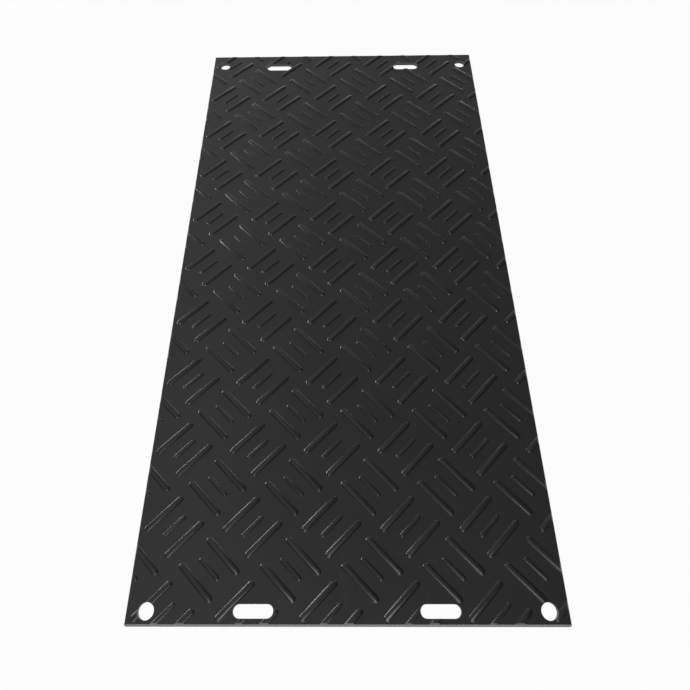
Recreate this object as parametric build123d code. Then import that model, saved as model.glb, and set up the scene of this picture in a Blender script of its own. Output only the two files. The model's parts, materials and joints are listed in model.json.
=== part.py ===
from build123d import *
import math
import os

# Ground protection mat: one sheet of black polyethylene, pressed with a non-slip tread on its
# upper face and then cut to size, drilled and slotted. Millimetres. The origin is the middle of
# the flat underside, X runs across the mat, Y along it, and +Z is up out of the tread.

# Sheet
mat_width = 1220.0
mat_length = 2440.0
sheet_thickness = 12.7
corner_radius = 4.0
end_bevel = 6.0
side_arris = 1.5

# Tread: groups of three bars, long, short, long. Groups that lean right stand on a lattice,
# and groups that lean left stand in the middle of its cells.
pitch_across = 232.3
pitch_along = 234.2
lattice_x = -43.2
lattice_y = -20.1
bar_angle = 45.0
bar_spacing = 50.0
bar_flank_angle = 42.0

long_bar_length = 140.0
long_bar_width = 20.0
long_bar_height = 3.5

short_bar_length = 84.0
short_bar_width = 14.0
short_bar_height = 3.0

# A bar's end has its corners cut back by this share of the bar's width.
bar_corner_share = 0.3

# Corner holes for the joining pins. An inset is a distance from an edge to a centre.
hole_diameter = 46.0
hole_side_inset = 54.0
near_hole_inset = 38.0
far_hole_inset = 74.0

# Hand slots, two in each short end
near_slot_length = 113.0
near_slot_width = 36.0
near_slot_spacing = 518.0
near_slot_inset = 38.0
far_slot_length = 118.0
far_slot_width = 46.0
far_slot_spacing = 596.0
far_slot_inset = 84.0


def bar(length, width, height):
    """One tread bar, lying along X on the plane z = 0, with sloping flanks and cut corners."""
    half_length = length / 2
    half_width = width / 2
    cut = width * bar_corner_share
    quarter = [
        (half_length, half_width - cut),
        (half_length - cut, half_width),
    ]
    left_end = [(-x, y) for x, y in reversed(quarter)]
    upper_side = quarter + left_end
    lower_side = [(x, -y) for x, y in reversed(upper_side)]
    outline = upper_side + lower_side
    footprint = make_face(Polyline(*outline, close=True))
    return extrude(footprint, height, taper=bar_flank_angle)


def bar_group(angle):
    """Three parallel bars about the origin: a long one, a short one and a long one."""
    long_bar = bar(long_bar_length, long_bar_width, long_bar_height)
    short_bar = bar(short_bar_length, short_bar_width, short_bar_height)
    turned = Rot(0, 0, angle)
    return [
        turned * Pos(0, bar_spacing, 0) * long_bar,
        turned * short_bar,
        turned * Pos(0, -bar_spacing, 0) * long_bar,
    ]


def crosses_sheet(centre_x, centre_y):
    """Whether a bar group about this centre can reach the sheet."""
    reach = math.hypot(long_bar_length / 2, bar_spacing + long_bar_width / 2)
    inside_x = abs(centre_x) < mat_width / 2 + reach
    inside_y = abs(centre_y) < mat_length / 2 + reach
    return inside_x and inside_y


def tread():
    """Every bar that reaches the sheet, standing on its upper face and not yet trimmed."""
    right_group = bar_group(bar_angle)
    left_group = bar_group(-bar_angle)
    columns = math.ceil(mat_width / 2 / pitch_across) + 1
    rows = math.ceil(mat_length / 2 / pitch_along) + 1
    bars = []
    for column in range(-columns, columns + 1):
        for row in range(-rows, rows + 1):
            x = lattice_x + column * pitch_across
            y = lattice_y + row * pitch_along
            if crosses_sheet(x, y):
                bars += [Pos(x, y, sheet_thickness) * one for one in right_group]
            x += pitch_across / 2
            y += pitch_along / 2
            if crosses_sheet(x, y):
                bars += [Pos(x, y, sheet_thickness) * one for one in left_group]
    return bars


def bevelled_profile(width, bevel):
    """A section as wide as the sheet whose upper corners are cut at 45 degrees.

    The cut starts one bevel below the sheet's upper face and goes on up through the bars.
    """
    top = sheet_thickness + long_bar_height
    half = width / 2
    start = sheet_thickness - bevel
    run = top - start
    lower_side = [(-half, start), (-half, 0), (half, 0), (half, start)]
    upper_side = [(half - run, top), (-half + run, top)]
    return make_face(Polyline(*lower_side, *upper_side, close=True))


def saw_cut_block():
    """All that the cuts round the edge leave: the outline, its arris and its end bevels."""
    outline = RectangleRounded(mat_width, mat_length, corner_radius)
    block = extrude(outline, sheet_thickness + long_bar_height)
    end_profile = bevelled_profile(mat_length, end_bevel)
    side_profile = bevelled_profile(mat_width, side_arris)
    block &= extrude(Plane.YZ * end_profile, mat_width / 2, both=True)
    block &= extrude(Plane.XZ * side_profile, mat_length / 2, both=True)
    return block


def opening_tools():
    """The tools that cut the corner holes and the hand slots right through."""
    depth = sheet_thickness + long_bar_height
    hole = extrude(Circle(hole_diameter / 2), depth)
    near_slot = extrude(SlotOverall(near_slot_length, near_slot_width), depth)
    far_slot = extrude(SlotOverall(far_slot_length, far_slot_width), depth)
    hole_x = mat_width / 2 - hole_side_inset
    tools = []
    for side in (-1, 1):
        tools += [
            Pos(side * hole_x, -mat_length / 2 + near_hole_inset, 0) * hole,
            Pos(side * hole_x, mat_length / 2 - far_hole_inset, 0) * hole,
            Pos(side * near_slot_spacing / 2, -mat_length / 2 + near_slot_inset, 0) * near_slot,
            Pos(side * far_slot_spacing / 2, mat_length / 2 - far_slot_inset, 0) * far_slot,
        ]
    return tools


def boxes_meet(first, second):
    """Whether two bounding boxes meet when seen from above."""
    apart_x = first.min.X > second.max.X or second.min.X > first.max.X
    apart_y = first.min.Y > second.max.Y or second.min.Y > first.max.Y
    return not (apart_x or apart_y)


def solids_left(shape):
    """The solids of a cut's result, which are none where the cut takes everything."""
    if shape is None:
        return []
    return shape.solids()


def trimmed(one, block, tools):
    """What is left of a bar once the sheet is cut to size, drilled and slotted."""
    box = one.bounding_box()
    edge_cut = end_bevel + long_bar_height
    clear_x = max(-box.min.X, box.max.X) < mat_width / 2 - edge_cut
    clear_y = max(-box.min.Y, box.max.Y) < mat_length / 2 - edge_cut
    left = [one]
    if not (clear_x and clear_y):
        left = solids_left(one & block)
    for tool in tools:
        if boxes_meet(box, tool.bounding_box()):
            left = [rest for part in left for rest in solids_left(part - tool)]
    return left


def ground_mat():
    """The whole mat, as one solid."""
    block = saw_cut_block()
    tools = opening_tools()
    outline = RectangleRounded(mat_width, mat_length, corner_radius)
    sheet = extrude(outline, sheet_thickness) & block
    sheet = sheet.cut(*tools)
    pieces = []
    for one in tread():
        pieces += trimmed(one, block, tools)
    return sheet.fuse(*pieces)


os.makedirs("parts", exist_ok=True)
mat = ground_mat()
export_step(mat, "parts/ground_mat.step")
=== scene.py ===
# %% [markdown]
# # A ground protection mat
#
# A ground protection mat is one sheet of black polyethylene that people lay over grass or mud so
# that vehicles can cross it. A hot press raises a non-slip tread on its upper face, and then the
# sheet is sawn to size, bevelled at its two short ends, drilled for joining pins and slotted for
# hands. This notebook makes the mat in that same order, because the order decides how it looks:
# bars of the tread run out over the edges and into the holes, and are cut off there.

# %% Load the frame
import json
import math

import bmesh
import bpy
from mathutils import Matrix, Vector


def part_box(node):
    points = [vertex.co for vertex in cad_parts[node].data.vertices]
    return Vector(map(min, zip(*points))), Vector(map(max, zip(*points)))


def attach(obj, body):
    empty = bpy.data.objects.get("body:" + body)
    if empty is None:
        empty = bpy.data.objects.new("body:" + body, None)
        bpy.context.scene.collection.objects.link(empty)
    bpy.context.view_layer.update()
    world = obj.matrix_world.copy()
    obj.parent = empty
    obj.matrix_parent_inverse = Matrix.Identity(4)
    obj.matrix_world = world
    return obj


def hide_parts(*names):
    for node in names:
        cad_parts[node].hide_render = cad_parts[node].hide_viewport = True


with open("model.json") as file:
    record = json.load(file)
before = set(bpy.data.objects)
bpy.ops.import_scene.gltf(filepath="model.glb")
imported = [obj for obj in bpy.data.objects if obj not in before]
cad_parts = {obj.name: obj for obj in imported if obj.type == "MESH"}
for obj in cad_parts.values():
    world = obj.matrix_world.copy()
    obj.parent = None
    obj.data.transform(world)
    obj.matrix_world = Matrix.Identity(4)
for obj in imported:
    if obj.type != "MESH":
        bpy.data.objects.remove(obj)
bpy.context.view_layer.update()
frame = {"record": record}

MM = 0.001

# %% [markdown]
# ## Sizes
#
# The sheet's outline, its holes and the places of its hand slots are read from the frame, so the
# picture can't drift away from the part. Only what the frame doesn't say is written here, such as
# the section of a bar and the pitch of the tread. Lengths are in metres, so a value in millimetres
# is multiplied by MM.

# %% Sizes of the sheet
mat_low, mat_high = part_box("ground_mat")
mat_width = mat_high.x - mat_low.x
mat_length = mat_high.y - mat_low.y
mat_top = mat_high.z

long_bar_height = 3.5 * MM
sheet_thickness = mat_top - long_bar_height
corner_radius = 4.0 * MM
end_bevel = 6.0 * MM
side_arris = 1.5 * MM
print("sheet thickness in mm:", round(sheet_thickness / MM, 2))

# %% Sizes of the tread
pitch_across = 232.3 * MM
pitch_along = 234.2 * MM
lattice_x = -43.2 * MM
lattice_y = -20.1 * MM
bar_angle = math.radians(45)
bar_spacing = 50.0 * MM

long_bar_length = 140.0 * MM
long_bar_width = 20.0 * MM
short_bar_length = 84.0 * MM
short_bar_width = 14.0 * MM
short_bar_height = 3.0 * MM
long_flank_run = 4.3 * MM
short_flank_run = 3.7 * MM

# %% Sizes of the openings
near_slot = (113.0 * MM, 36.0 * MM)
far_slot = (118.0 * MM, 46.0 * MM)
hole_steps = 64
slot_end_steps = 24

record = frame["record"]
pin_holes = [m for m in record["mounts"] if m["kind"] == "bore"]
slot_boxes = [box["box_m"] for box in record["physics"]["openings"]]
print(len(pin_holes), "pin holes and", len(slot_boxes), "hand slots")

# %% [markdown]
# ## The blanks and the cutters
#
# The sheet, the block that trims it and the tools that pierce it are all prisms: a flat outline
# pushed along one direction. They could be cubes and cylinders put together by hand, but one
# function that lifts any outline into a closed mesh makes them all, and every size stays a value.
# A slot's outline is two half circles joined by straight lines, and a round hole is the same shape
# with no straight part.

# %% A prism from an outline
def prism(name, low_ring, high_ring):
    """A closed mesh between two rings of corners that match one to one."""
    mesh = bpy.data.meshes.new(name)
    shape = bmesh.new()
    low = [shape.verts.new(p) for p in low_ring]
    high = [shape.verts.new(p) for p in high_ring]
    shape.faces.new(low)
    shape.faces.new(high)
    for i, corner in enumerate(low):
        after = (i + 1) % len(low)
        shape.faces.new((corner, low[after], high[after], high[i]))
    bmesh.ops.recalc_face_normals(shape, faces=shape.faces)
    shape.to_mesh(mesh)
    shape.free()
    return bpy.data.objects.new(name, mesh)


def upright(name, outline, low, high):
    """A prism that stands on an outline seen from above."""
    return prism(name, [(x, y, low) for x, y in outline], [(x, y, high) for x, y in outline])


def stadium(centre_x, centre_y, length, width, steps):
    """Two half circles joined by straight lines, with the long way along X."""
    radius = width / 2
    reach = (length - width) / 2
    outline = []
    for side in (1, -1):
        for step in range(steps + 1):
            angle = math.pi * (step / steps - 0.5) + (0 if side > 0 else math.pi)
            x = centre_x + side * reach + radius * math.cos(angle)
            y = centre_y + radius * math.sin(angle)
            outline.append((x, y))
    if reach == 0:
        outline = outline[:steps] + outline[steps + 1:-1]
    return outline


def rounded_rectangle(width, length, radius, steps):
    """The sawn outline of the sheet, with its corners just taken off."""
    outline = []
    for quarter, (sx, sy) in enumerate(((1, 1), (-1, 1), (-1, -1), (1, -1))):
        for step in range(steps + 1):
            angle = math.pi / 2 * (quarter + step / steps)
            x = sx * (width / 2 - radius) + radius * math.cos(angle)
            y = sy * (length / 2 - radius) + radius * math.sin(angle)
            outline.append((x, y))
    return outline


# %% The sheet and its trimming prisms
corner_steps = 6
outline = rounded_rectangle(mat_width, mat_length, corner_radius, corner_steps)
sheet = upright("sheet_blank", outline, 0, sheet_thickness)
saw_cut = upright("saw_cut", outline, 0, mat_top)


def bevelled_section(width, bevel):
    """A section whose upper corners are cut at 45 degrees, from one bevel below the face."""
    half = width / 2
    start = sheet_thickness - bevel
    run = mat_top - start
    return [(-half, 0), (half, 0), (half, start), (half - run, mat_top), (-half + run, mat_top),
            (-half, start)]


end_section = bevelled_section(mat_length, end_bevel)
side_section = bevelled_section(mat_width, side_arris)
end_cut = prism(
    "end_cut",
    [(-mat_width / 2, y, z) for y, z in end_section],
    [(mat_width / 2, y, z) for y, z in end_section],
)
side_cut = prism(
    "side_cut",
    [(x, -mat_length / 2, z) for x, z in side_section],
    [(x, mat_length / 2, z) for x, z in side_section],
)

# %% The drill and the router
tool_clearance = 5.0 * MM
tool_low, tool_high = -tool_clearance, mat_top + tool_clearance
outlines = []
for hole in pin_holes:
    x, y, _ = hole["pos_m"]
    across = 2 * hole["dims"]["r_mm"] * MM
    outlines.append(stadium(x, y, across, across, hole_steps // 2))
for (low_x, low_y, _), (high_x, high_y, _) in slot_boxes:
    x, y = (low_x + high_x) / 2, (low_y + high_y) / 2
    length, width = near_slot if y < 0 else far_slot
    outlines.append(stadium(x, y, length, width, slot_end_steps))

cutters = [upright(f"cutter_{i}", o, tool_low, tool_high) for i, o in enumerate(outlines)]
cutter_mesh = bmesh.new()
for cutter in cutters:
    cutter_mesh.from_mesh(cutter.data)
    bpy.data.objects.remove(cutter)
openings = bpy.data.objects.new("openings", bpy.data.meshes.new("openings"))
cutter_mesh.to_mesh(openings.data)
cutter_mesh.free()
print("cutters:", len(outlines))

# %% [markdown]
# ## A small set of helpers for node trees
#
# Geometry Nodes trees and materials are both graphs, so both are written with the same two
# helpers: one adds a node and fills its sockets, and one does sums. A socket is given either a
# plain value or the output of another node, and the helper makes the link.

# %% Node helpers
def add_node(tree, kind, inputs=None, **settings):
    """Add a node, set its own properties, and fill its inputs by name or by number."""
    node = tree.nodes.new(kind)
    for key, value in settings.items():
        setattr(node, key, value)
    for key, value in (inputs or {}).items():
        socket = node.inputs[key]
        if isinstance(value, bpy.types.NodeSocket):
            tree.links.new(value, socket)
        else:
            socket.default_value = value
    return node


def sums(tree, operation, *values):
    """One sum on numbers."""
    return add_node(tree, "ShaderNodeMath", dict(enumerate(values)), operation=operation).outputs[0]


def new_tree(name, inputs):
    """A Geometry Nodes tree with named number inputs, and its group input and output nodes."""
    tree = bpy.data.node_groups.new(name, "GeometryNodeTree")
    for label, kind in inputs:
        tree.interface.new_socket(label, in_out="INPUT", socket_type=kind)
    tree.interface.new_socket("Geometry", in_out="OUTPUT", socket_type="NodeSocketGeometry")
    return tree, tree.nodes.new("NodeGroupInput"), tree.nodes.new("NodeGroupOutput")


# %% [markdown]
# ## One bar of the tread
#
# A bar is a long low hump with round ends, sloping flanks and a softened upper edge, because the
# press has to let go of it. It could be a cube with a bevel, but then its ends would be square.
# Here it starts as a flat stadium: a rectangle curve whose corners are filleted by half its width,
# then filled. The face is pushed up in a few lifts, and at each lift its rim moves in towards the
# bar's middle line. The list of lifts is the bar's section, as shares of the flank's run and of
# the bar's height, so the long and the short bar are the same tree with other numbers. The last
# lift only carries the level top a little further in, so that smooth shading leaves it flat.

# %% The tree of one bar
end_steps = 6
sink = 1.0 * MM
lifts = ((0.60, 0.79), (1.0, 1.0), (1.12, 1.0))

number = "NodeSocketFloat"
bar_tree, given, result = new_tree(
    "tread bar",
    [("Length", number), ("Width", number), ("Height", number), ("Flank Run", number),
     ("Sink", number)],
)


def rim_moved(tree, mesh, selection, inset, height):
    """Move the chosen corners to one distance from the bar's middle line, and to one height."""
    place = add_node(tree, "GeometryNodeInputPosition").outputs[0]
    parts = add_node(tree, "ShaderNodeSeparateXYZ", {0: place})
    reach = sums(tree, "MULTIPLY", sums(tree, "SUBTRACT", given.outputs["Length"],
                                        given.outputs["Width"]), 0.5)
    back = sums(tree, "MULTIPLY", reach, -1.0)
    middle_x = add_node(tree, "ShaderNodeClamp",
                        {"Value": parts.outputs[0], "Min": back, "Max": reach}).outputs[0]
    middle = add_node(tree, "ShaderNodeCombineXYZ", {0: middle_x}).outputs[0]
    flat = add_node(tree, "ShaderNodeCombineXYZ", {0: parts.outputs[0], 1: parts.outputs[1]})
    away = add_node(tree, "ShaderNodeVectorMath", {0: flat.outputs[0], 1: middle},
                    operation="SUBTRACT").outputs[0]
    outward = add_node(tree, "ShaderNodeVectorMath", {0: away}, operation="NORMALIZE").outputs[0]
    half = sums(tree, "MULTIPLY", given.outputs["Width"], 0.5)
    distance = sums(tree, "SUBTRACT", half, inset)
    rim = add_node(tree, "ShaderNodeVectorMath", {0: outward, "Scale": distance},
                   operation="SCALE").outputs[0]
    lifted = add_node(tree, "ShaderNodeCombineXYZ", {2: height}).outputs[0]
    spot = add_node(tree, "ShaderNodeVectorMath", {0: middle, 1: rim}, operation="ADD").outputs[0]
    spot = add_node(tree, "ShaderNodeVectorMath", {0: spot, 1: lifted}, operation="ADD").outputs[0]
    settings = {"Geometry": mesh, "Position": spot}
    if selection is not None:
        settings["Selection"] = selection
    return add_node(tree, "GeometryNodeSetPosition", settings).outputs[0]


rectangle = add_node(bar_tree, "GeometryNodeCurvePrimitiveQuadrilateral",
                     {"Width": given.outputs["Length"], "Height": given.outputs["Width"]})
fillet_share = 0.499  # a hair under half the width, so that the two fillets of an end don't meet
half_width = sums(bar_tree, "MULTIPLY", given.outputs["Width"], fillet_share)
fillet = add_node(bar_tree, "GeometryNodeFilletCurve",
                  {"Curve": rectangle.outputs[0], "Radius": half_width, "Count": end_steps // 2},
                  mode="POLY")
face = add_node(bar_tree, "GeometryNodeFillCurve", {"Curve": fillet.outputs[0]},
                mode="NGONS").outputs[0]
foot_run = sums(bar_tree, "MULTIPLY", given.outputs["Flank Run"], lifts[0][0])
foot_height = sums(bar_tree, "MULTIPLY", given.outputs["Height"], lifts[0][1])
below = sums(bar_tree, "MULTIPLY", given.outputs["Sink"], -1.0)
spread = sums(bar_tree, "MULTIPLY", below, sums(bar_tree, "DIVIDE", foot_run, foot_height))
base = rim_moved(bar_tree, face, None, spread, below)
shell, top = base, None
for inset_share, height_share in lifts:
    lift = add_node(bar_tree, "GeometryNodeExtrudeMesh",
                    {"Mesh": shell, "Offset Scale": 0.0, "Individual": False}, mode="FACES")
    if top is not None:
        bar_tree.links.new(top, lift.inputs["Selection"])
    top = lift.outputs["Top"]
    inset = sums(bar_tree, "MULTIPLY", given.outputs["Flank Run"], inset_share)
    height = sums(bar_tree, "MULTIPLY", given.outputs["Height"], height_share)
    shell = rim_moved(bar_tree, lift.outputs["Mesh"], top, inset, height)
under = add_node(bar_tree, "GeometryNodeFlipFaces", {"Mesh": base}).outputs[0]
closed = add_node(bar_tree, "GeometryNodeJoinGeometry")
for part in (shell, under):
    bar_tree.links.new(part, closed.inputs[0])
bar_mesh = add_node(bar_tree, "GeometryNodeMergeByDistance",
                    {"Geometry": closed.outputs[0], "Distance": 0.01 * MM}).outputs[0]
bar_tree.links.new(bar_mesh, result.inputs[0])
print("bar tree nodes:", len(bar_tree.nodes))

# %% [markdown]
# ## The whole tread, pressed and cut
#
# Three bars lie side by side, long, short and long. Groups that lean right stand on the points of
# a lattice and groups that lean left stand in the middle of its cells, which weaves them like a
# basket. An array modifier could repeat them, but the pattern needs two lattices and has to be
# cut by the outline, so one tree lays both lattices, realizes the bars, joins them to the sheet
# and then saws, bevels, drills and slots the result with mesh booleans.

# %% The tree of the mat
mat_tree, given, result = new_tree(
    "pressed mat",
    [("Sheet", "NodeSocketGeometry"), ("Pitch Across", number), ("Pitch Along", number),
     ("Lattice X", number), ("Lattice Y", number), ("Bar Spacing", number),
     ("Bar Angle", number), ("Columns", "NodeSocketInt"), ("Rows", "NodeSocketInt"),
     ("Long Length", number), ("Long Width", number), ("Long Height", number),
     ("Long Flank Run", number), ("Short Length", number), ("Short Width", number),
     ("Short Height", number), ("Short Flank Run", number), ("Sink", number),
     ("Sheet Top", number),
     ("Saw Cut", "NodeSocketObject"), ("End Cut", "NodeSocketObject"),
     ("Side Cut", "NodeSocketObject"), ("Openings", "NodeSocketObject"),
     ("Sharp Angle", number), ("Finish", "NodeSocketMaterial")],
)


def bar_of(size):
    """One bar, long or short, from the tree above."""
    node = mat_tree.nodes.new("GeometryNodeGroup")
    node.node_tree = bar_tree
    for socket in ("Length", "Width", "Height", "Flank Run"):
        mat_tree.links.new(given.outputs[f"{size} {socket}"], node.inputs[socket])
    mat_tree.links.new(given.outputs["Sink"], node.inputs["Sink"])
    return node.outputs[0]


def moved_aside(bar, share):
    """A bar moved across its own length by a share of the spacing."""
    aside = sums(mat_tree, "MULTIPLY", given.outputs["Bar Spacing"], share)
    shift = add_node(mat_tree, "ShaderNodeCombineXYZ", {1: aside}).outputs[0]
    return add_node(mat_tree, "GeometryNodeTransform",
                    {"Geometry": bar, "Translation": shift}).outputs[0]


long_bar = bar_of("Long")
group = add_node(mat_tree, "GeometryNodeJoinGeometry")
for part in (moved_aside(long_bar, 1.0), bar_of("Short"), moved_aside(long_bar, -1.0)):
    mat_tree.links.new(part, group.inputs[0])


def lattice(lean, offset_share):
    """Bar groups on one lattice, leaning one way."""
    spans = []
    for count, pitch in (("Columns", "Pitch Across"), ("Rows", "Pitch Along")):
        gaps = sums(mat_tree, "SUBTRACT", given.outputs[count], 1.0)
        spans.append(sums(mat_tree, "MULTIPLY", gaps, given.outputs[pitch]))
    grid = add_node(mat_tree, "GeometryNodeMeshGrid",
                    {"Size X": spans[0], "Size Y": spans[1],
                     "Vertices X": given.outputs["Columns"],
                     "Vertices Y": given.outputs["Rows"]}).outputs[0]
    places = []
    for start, pitch in (("Lattice X", "Pitch Across"), ("Lattice Y", "Pitch Along")):
        extra = sums(mat_tree, "MULTIPLY", given.outputs[pitch], offset_share)
        places.append(sums(mat_tree, "ADD", given.outputs[start], extra))
    shift = add_node(mat_tree, "ShaderNodeCombineXYZ",
                     {0: places[0], 1: places[1], 2: given.outputs["Sheet Top"]}).outputs[0]
    points = add_node(mat_tree, "GeometryNodeTransform",
                      {"Geometry": grid, "Translation": shift}).outputs[0]
    turn = sums(mat_tree, "MULTIPLY", given.outputs["Bar Angle"], lean)
    turned = add_node(mat_tree, "ShaderNodeCombineXYZ", {2: turn}).outputs[0]
    return add_node(mat_tree, "GeometryNodeInstanceOnPoints",
                    {"Points": points, "Instance": group.outputs[0], "Rotation": turned}).outputs[0]


both = add_node(mat_tree, "GeometryNodeJoinGeometry")
for part in (lattice(1.0, 0.0), lattice(-1.0, 0.5)):
    mat_tree.links.new(part, both.inputs[0])
bars = add_node(mat_tree, "GeometryNodeRealizeInstances", {"Geometry": both.outputs[0]}).outputs[0]


def boolean(operation, first, second):
    """One cut or join of closed meshes."""
    node = add_node(mat_tree, "GeometryNodeMeshBoolean", operation=operation, solver="MANIFOLD")
    if operation == "DIFFERENCE":
        mat_tree.links.new(first, node.inputs["Mesh 1"])
    else:
        mat_tree.links.new(first, node.inputs["Mesh 2"])
    mat_tree.links.new(second, node.inputs["Mesh 2"])
    return node.outputs[0]


def shape_of(label):
    """The mesh of an object that is given to the tree."""
    return add_node(mat_tree, "GeometryNodeObjectInfo",
                    {"Object": given.outputs[label]}).outputs["Geometry"]


pressed = boolean("UNION", given.outputs["Sheet"], bars)
for label in ("Saw Cut", "End Cut", "Side Cut"):
    pressed = boolean("INTERSECT", pressed, shape_of(label))
pressed = boolean("DIFFERENCE", pressed, shape_of("Openings"))

edge_angle = add_node(mat_tree, "GeometryNodeInputMeshEdgeAngle").outputs[0]
sharp = sums(mat_tree, "GREATER_THAN", edge_angle, given.outputs["Sharp Angle"])
smooth = add_node(mat_tree, "GeometryNodeSetShadeSmooth", {"Geometry": pressed}, domain="FACE")
creased = add_node(mat_tree, "GeometryNodeSetShadeSmooth",
                   {"Geometry": smooth.outputs[0], "Selection": sharp, "Shade Smooth": False},
                   domain="EDGE")
whole = add_node(mat_tree, "GeometryNodeRealizeInstances", {"Geometry": creased.outputs[0]})
finished = add_node(mat_tree, "GeometryNodeSetMaterial",
                    {"Geometry": whole.outputs[0], "Material": given.outputs["Finish"]})
mat_tree.links.new(finished.outputs[0], result.inputs[0])
print("mat tree nodes:", len(mat_tree.nodes))

# %% [markdown]
# ## The finish
#
# Pressed polyethylene is black all through, with a satin skin that has a fine grain from the
# press plates. Where a saw or a router has cut it, the surface is rougher and plainly greyer,
# with fine lines along the cut. The bevels round the rim are painted lighter still, a painted
# reflection of the white floor on top of the grey of the cut. Two materials could be painted on,
# but the cuts are easy to find by rule: the press never makes an upright wall, and only the saw
# reaches the bevels round the rim. So one material tells the two surfaces apart by the way they
# face and by their place. The grain and the faint scuffs are noise on Object coordinates, so
# they belong to the mat and don't slide.

# %% The material and its helpers
finish = bpy.data.materials.new("satin black polyethylene")
finish.use_nodes = True
graph = finish.node_tree
graph.nodes.clear()
place = add_node(graph, "ShaderNodeTexCoord").outputs["Object"]


def noise(scale, detail, roughness=0.5, stretch=(1, 1, 1)):
    """Noise that belongs to the object, with its size in features a metre."""
    sized = add_node(graph, "ShaderNodeMapping", {"Vector": place, "Scale": stretch}).outputs[0]
    return add_node(graph, "ShaderNodeTexNoise",
                    {"Vector": sized, "Scale": scale, "Detail": detail,
                     "Roughness": roughness}).outputs[0]


def spread_to(value, low, high, from_low=0.3, from_high=0.7):
    """A number carried from one range to another."""
    return add_node(graph, "ShaderNodeMapRange",
                    {"Value": value, "From Min": from_low, "From Max": from_high,
                     "To Min": low, "To Max": high}).outputs[0]


def blend(share, first, second):
    """A number between two others."""
    return add_node(graph, "ShaderNodeMix", {"Factor": share, 2: first, 3: second}).outputs[0]


# %% Where the saw and the router have been
spot = add_node(graph, "ShaderNodeSeparateXYZ", {0: place})
from_middle_x = sums(graph, "ABSOLUTE", spot.outputs[0])
from_middle_y = sums(graph, "ABSOLUTE", spot.outputs[1])
past_side = sums(graph, "GREATER_THAN", from_middle_x, mat_width / 2 - side_arris)
past_end = sums(graph, "GREATER_THAN", from_middle_y, mat_length / 2 - end_bevel)
facing = add_node(graph, "ShaderNodeNewGeometry").outputs["True Normal"]
facing_up = add_node(graph, "ShaderNodeSeparateXYZ", {0: facing}).outputs[2]
upper = sums(graph, "GREATER_THAN", facing_up, 0.1)
# The rim mask picks the bevels, which get the cut's grey and also a painted reflection below.
rim = sums(graph, "MULTIPLY", sums(graph, "MAXIMUM", past_side, past_end), upper)
wall = sums(graph, "LESS_THAN", sums(graph, "ABSOLUTE", facing_up), 0.3)
cut = sums(graph, "MAXIMUM", rim, wall)

# %% Colour, gloss and grain
# The rim grey is partly the grey of a sawn bevel and partly a painted reflection of the white
# floor.
pressed_black, wall_grey, rim_grey_and_painted_reflection = 0.012, 0.05, 0.16
cloudy = noise(2.5, 4)
scuffs = noise(30, 6, 0.65, (1.0, 0.35, 1.0))
grain = noise(900, 3)
saw_lines = noise(1400, 2, 0.5, (0.03, 0.03, 1.0))

pressed_tone = spread_to(cloudy, 0.85 * pressed_black, 1.15 * pressed_black)
# The bevels take the lighter rim grey: a painted reflection of the white floor over the cut's own
# grey.
cut_grey_and_painted_reflection = blend(rim, wall_grey, rim_grey_and_painted_reflection)
cut_tone_and_painted_reflection = sums(graph, "MULTIPLY", cut_grey_and_painted_reflection, spread_to(saw_lines, 0.75, 1.25))
tone = blend(cut, pressed_tone, cut_tone_and_painted_reflection)
colour = add_node(graph, "ShaderNodeCombineColor",
                  {0: tone, 1: tone, 2: sums(graph, "MULTIPLY", tone, 1.05)})
roughness = blend(cut, spread_to(scuffs, 0.22, 0.30), 0.45)
relief = blend(cut, grain, saw_lines)
bump = add_node(graph, "ShaderNodeBump", {"Strength": 0.08, "Distance": 0.0001, "Height": relief})
shader = add_node(graph, "ShaderNodeBsdfPrincipled",
                  {"Base Color": colour.outputs[0], "Roughness": roughness,
                   "Normal": bump.outputs[0], "IOR": 1.54, "Specular IOR Level": 0.5})
add_node(graph, "ShaderNodeOutputMaterial", {"Surface": shader.outputs[0]})
print("finish nodes:", len(graph.nodes))

# %% [markdown]
# ## Running the press
#
# The tree runs on a holder object. Its inputs are set by each socket's identifier before Blender
# evaluates anything. The result is copied out as a plain mesh, and the holder and the tools go.

# %% Press the mat and keep the plain mesh
holder = sheet
bpy.context.scene.collection.objects.link(holder)
for tool in (saw_cut, end_cut, side_cut, openings):
    bpy.context.scene.collection.objects.link(tool)
press = holder.modifiers.new("press", "NODES")
press.node_group = mat_tree
columns = 2 * math.ceil(mat_width / 2 / pitch_across) + 3
rows = 2 * math.ceil(mat_length / 2 / pitch_along) + 3
settings = {
    "Pitch Across": pitch_across, "Pitch Along": pitch_along,
    "Lattice X": lattice_x, "Lattice Y": lattice_y,
    "Bar Spacing": bar_spacing, "Bar Angle": bar_angle,
    "Columns": columns, "Rows": rows,
    "Long Length": long_bar_length, "Long Width": long_bar_width,
    "Long Height": long_bar_height, "Long Flank Run": long_flank_run,
    "Short Length": short_bar_length, "Short Width": short_bar_width,
    "Short Height": short_bar_height, "Short Flank Run": short_flank_run,
    "Sink": sink, "Sheet Top": sheet_thickness,
    "Saw Cut": saw_cut, "End Cut": end_cut, "Side Cut": side_cut, "Openings": openings,
    "Sharp Angle": math.radians(32), "Finish": finish,
}
sockets = {s.name: s.identifier for s in mat_tree.interface.items_tree if s.in_out == "INPUT"}
for label, value in settings.items():
    press[sockets[label]] = value
holder.update_tag()
bpy.context.view_layer.update()
evaluated = holder.evaluated_get(bpy.context.evaluated_depsgraph_get())
mesh = bpy.data.meshes.new_from_object(evaluated)
mesh.name = "pressed_mat"
piece = bpy.data.objects.new("pressed_mat", mesh)
bpy.context.scene.collection.objects.link(piece)
for tool in (holder, saw_cut, end_cut, side_cut, openings):
    bpy.data.objects.remove(tool)
mesh.calc_loop_triangles()
print("mat:", len(mesh.vertices), "corners,", len(mesh.polygons), "faces,",
      len(mesh.loop_triangles), "triangles")

# %% Hand the mat to the frame
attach(piece, "root")
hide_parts("ground_mat")

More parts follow.
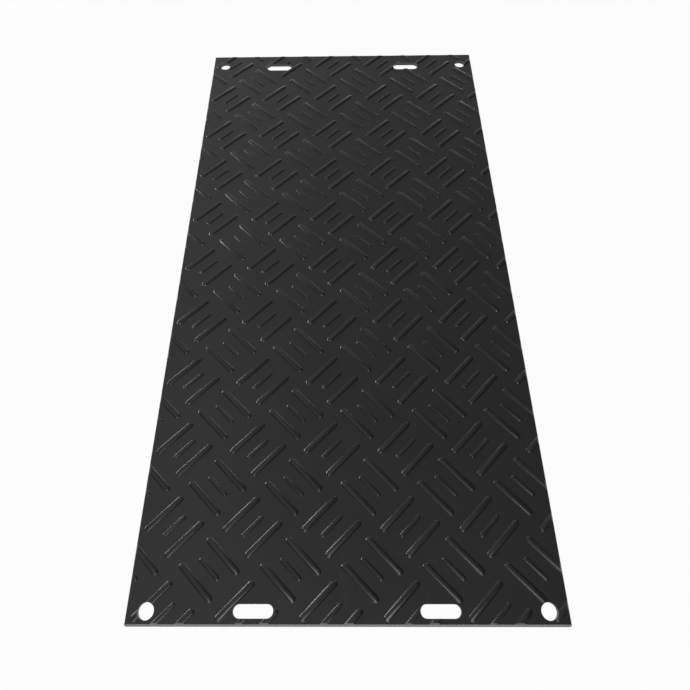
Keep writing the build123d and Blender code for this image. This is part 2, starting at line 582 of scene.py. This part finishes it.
# %% [markdown]
# ## The floor and the light
#
# The photograph shows the mat on pure white. A white floor that is lit by lamps would throw light
# back at the mat and clip, so the floor glows white only for rays that come from the camera or
# a reflection, and keeps part of its plain paint to hold a soft shadow. The lamps are large. The
# strongest stand low on the left, where the bright ends and upper edges of the bars say that they
# were, with weaker ones behind and in front. The room is brightest a little left of overhead and
# falls away to both sides, which is why the mat gets darker from left to right.

# %% The floor
floor_size = 60.0
floor_drop = 0.2 * MM
floor_share = 0.95
floor_mesh = bpy.data.meshes.new("floor")
half = floor_size / 2
floor_mesh.from_pydata(
    [(-half, -half, -floor_drop), (half, -half, -floor_drop),
     (half, half, -floor_drop), (-half, half, -floor_drop)], [], [(0, 1, 2, 3)])
floor = bpy.data.objects.new("floor", floor_mesh)
bpy.context.scene.collection.objects.link(floor)
paint = bpy.data.materials.new("white floor")
paint.use_nodes = True
graph = paint.node_tree
graph.nodes.clear()
path = add_node(graph, "ShaderNodeLightPath")
seen = sums(graph, "MAXIMUM", path.outputs["Is Camera Ray"], path.outputs["Is Glossy Ray"])
seen = sums(graph, "MAXIMUM", seen, path.outputs["Is Transmission Ray"])
share = sums(graph, "MULTIPLY", seen, floor_share)
matt = add_node(graph, "ShaderNodeBsdfDiffuse", {"Color": (0.85, 0.85, 0.85, 1)})
glow = add_node(graph, "ShaderNodeEmission", {"Color": (1, 1, 1, 1), "Strength": 1.0})
mixed = add_node(graph, "ShaderNodeMixShader",
                 {0: share, 1: matt.outputs[0], 2: glow.outputs[0]})
add_node(graph, "ShaderNodeOutputMaterial", {"Surface": mixed.outputs[0]})
floor_mesh.materials.append(paint)

# %% The world
world = bpy.data.worlds.new("studio")
bpy.context.scene.world = world
world.use_nodes = True
graph = world.node_tree
graph.nodes.clear()
path = add_node(graph, "ShaderNodeLightPath")
room_levels = ((-1.0, 0.0), (-0.6, 0.30), (-0.3, 0.66), (0.0, 0.37), (0.3, 0.30), (0.6, 0.10),
               (1.0, 0.0))
direction = add_node(graph, "ShaderNodeTexCoord").outputs["Generated"]
across = add_node(graph, "ShaderNodeSeparateXYZ", {0: direction}).outputs[0]
along_ramp = sums(graph, "MULTIPLY_ADD", across, 0.5, 0.5)
room = add_node(graph, "ShaderNodeValToRGB", {0: along_ramp})
stops = room.color_ramp.elements
stops.remove(stops[0])
stops[0].position = (room_levels[0][0] + 1) / 2
for side, _ in room_levels[1:]:
    stops.new((side + 1) / 2)
for stop, (_, grey) in zip(stops, room_levels):
    stop.color = (grey, grey, grey, 1)
level = sums(graph, "MAXIMUM", path.outputs["Is Camera Ray"], room.outputs[0])
sky = add_node(graph, "ShaderNodeBackground", {"Color": (1, 1, 1, 1), "Strength": level})
add_node(graph, "ShaderNodeOutputWorld", {"Surface": sky.outputs[0]})


# %% The lamps
def softbox(name, place, aim, width, height, watts):
    """A large flat lamp that looks at a point."""
    lamp = bpy.data.lights.new(name, "AREA")
    lamp.shape = "RECTANGLE"
    lamp.size = width
    lamp.size_y = height
    lamp.energy = watts
    lamp_object = bpy.data.objects.new(name, lamp)
    bpy.context.scene.collection.objects.link(lamp_object)
    lamp_object.location = place
    direction = [b - a for a, b in zip(place, aim)]
    lamp_object.rotation_mode = "QUATERNION"
    lamp_object.rotation_quaternion = Vector(direction).to_track_quat("-Z", "Y")


softbox("left_softbox", (-4.0, 2.8, 0.6), (0, 0.2, 0), 1.6, 1.0, 60)
softbox("left_side_softbox", (-4.6, 0.6, 0.8), (0, 0.2, 0), 1.6, 1.0, 75)
softbox("back_softbox", (-0.3, 5.2, 0.7), (0, 0.2, 0), 3.0, 0.8, 10)
softbox("back_right_softbox", (2.2, 4.8, 0.6), (0, 0.2, 0), 1.6, 0.8, 16)
softbox("front_softbox", (0, -3.2, 3.4), (0, -0.2, 0), 1.8, 1.8, 60)
softbox("low_front_softbox", (0, -5.0, 0.5), (0, -1.2, 0), 4.0, 0.8, 40)

# %% [markdown]
# ## The camera
#
# The camera was found from the four corners of the mat in the photograph. It hangs over the near
# end and looks down along the mat, which is why the far end is little more than half as wide.

# %% The camera
camera_data = bpy.data.cameras.new("camera")
camera_data.sensor_width = 36.0
camera_data.lens = 27.98
camera_data.shift_x = 0.0148
camera = bpy.data.objects.new("camera", camera_data)
bpy.context.scene.collection.objects.link(camera)
camera.location = (-0.0128, -1.2149, 1.6595)
look_down = 62.434
turn_left = 1.399
roll = -1.522
camera.rotation_mode = "XYZ"
view_turn = (Matrix.Rotation(math.radians(turn_left), 4, "Z")
             @ Matrix.Rotation(math.radians(90 - look_down), 4, "X")
             @ Matrix.Rotation(math.radians(roll), 4, "Z"))
camera.rotation_euler = view_turn.to_euler("XYZ")
bpy.context.scene.camera = camera
bpy.context.scene.view_settings.view_transform = "Standard"
